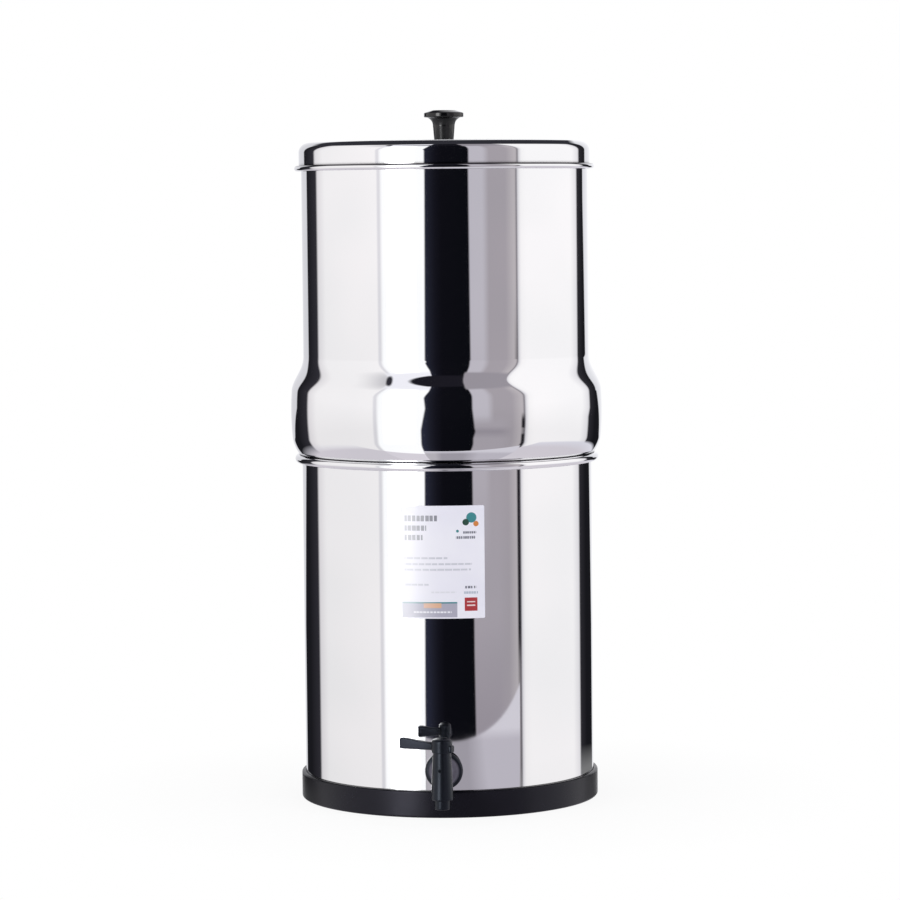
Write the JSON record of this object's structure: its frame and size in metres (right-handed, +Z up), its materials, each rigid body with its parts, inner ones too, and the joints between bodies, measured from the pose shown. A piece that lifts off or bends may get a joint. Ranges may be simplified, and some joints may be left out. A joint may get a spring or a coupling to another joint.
{
  "type": "gravity water filter",
  "caption": "Countertop gravity water filter: stacked polished steel chambers, ceramic candles inside, loose lid with a knob, base ring and a plastic lever tap.",
  "frame": {"origin": "on the chambers' axis, on the plane that the base ring stands on", "axes": "+Z up along the chambers' axis, -Y towards the tap, +X to the right of a person facing the tap"},
  "size_m": [0.2248, 0.2622, 0.4959],
  "materials": {
    "polished_steel": "mirror polished stainless steel",
    "screw_steel": "plain stainless fastener",
    "charcoal_plastic": "satin moulded",
    "tap_plastic": "satin moulded slate black",
    "knob_plastic": "gloss black",
    "white_plastic": "moulded ivory white",
    "rubber": "matt black rubber",
    "ceramic": "unglazed porous ceramic",
    "carbon": "pressed carbon block",
    "label": "satin printed film"
  },
  "bodies": {
    "lower": {"base_ring": "charcoal_plastic", "lower_chamber": "polished_steel", "label": "label", "tap_body": "tap_plastic", "tap_outer_washer": "rubber", "tap_inner_washer": "rubber", "tap_nut": "white_plastic"},
    "lever": {"tap_plug": "white_plastic", "tap_o_ring_lower": "rubber", "tap_o_ring_upper": "rubber", "tap_lever": "tap_plastic"},
    "upper": {"upper_chamber": "polished_steel", "candle_1_shell": "ceramic", "candle_1_core": "carbon", "candle_1_mount": "white_plastic", "candle_1_washer": "rubber", "candle_1_wing_nut": "white_plastic", "candle_2_shell": "ceramic", "candle_2_core": "carbon", "candle_2_mount": "white_plastic", "candle_2_washer": "rubber", "candle_2_wing_nut": "white_plastic", "candle_3_shell": "ceramic", "candle_3_core": "carbon", "candle_3_mount": "white_plastic", "candle_3_washer": "rubber", "candle_3_wing_nut": "white_plastic", "candle_4_shell": "ceramic", "candle_4_core": "carbon", "candle_4_mount": "white_plastic", "candle_4_washer": "rubber", "candle_4_wing_nut": "white_plastic"},
    "lid": {"lid": "polished_steel", "lid_knob": "knob_plastic", "lid_screw": "screw_steel", "lid_washer": "screw_steel"}
  },
  "joints": [
    {"name": "lever_turn", "type": "hinge", "parent": "lower", "child": "lever", "pos_m": [0, -0.142, 0.055], "axis": [0, 0, 1], "range_deg": [0, 115]},
    {"name": "upper_lift", "type": "slide", "parent": "lower", "child": "upper", "axis": [0, 0, 1], "range_m": [0, 0.12]},
    {"name": "lid_lift", "type": "slide", "parent": "upper", "child": "lid", "axis": [0, 0, 1], "range_m": [0, 0.08]}
  ]
}
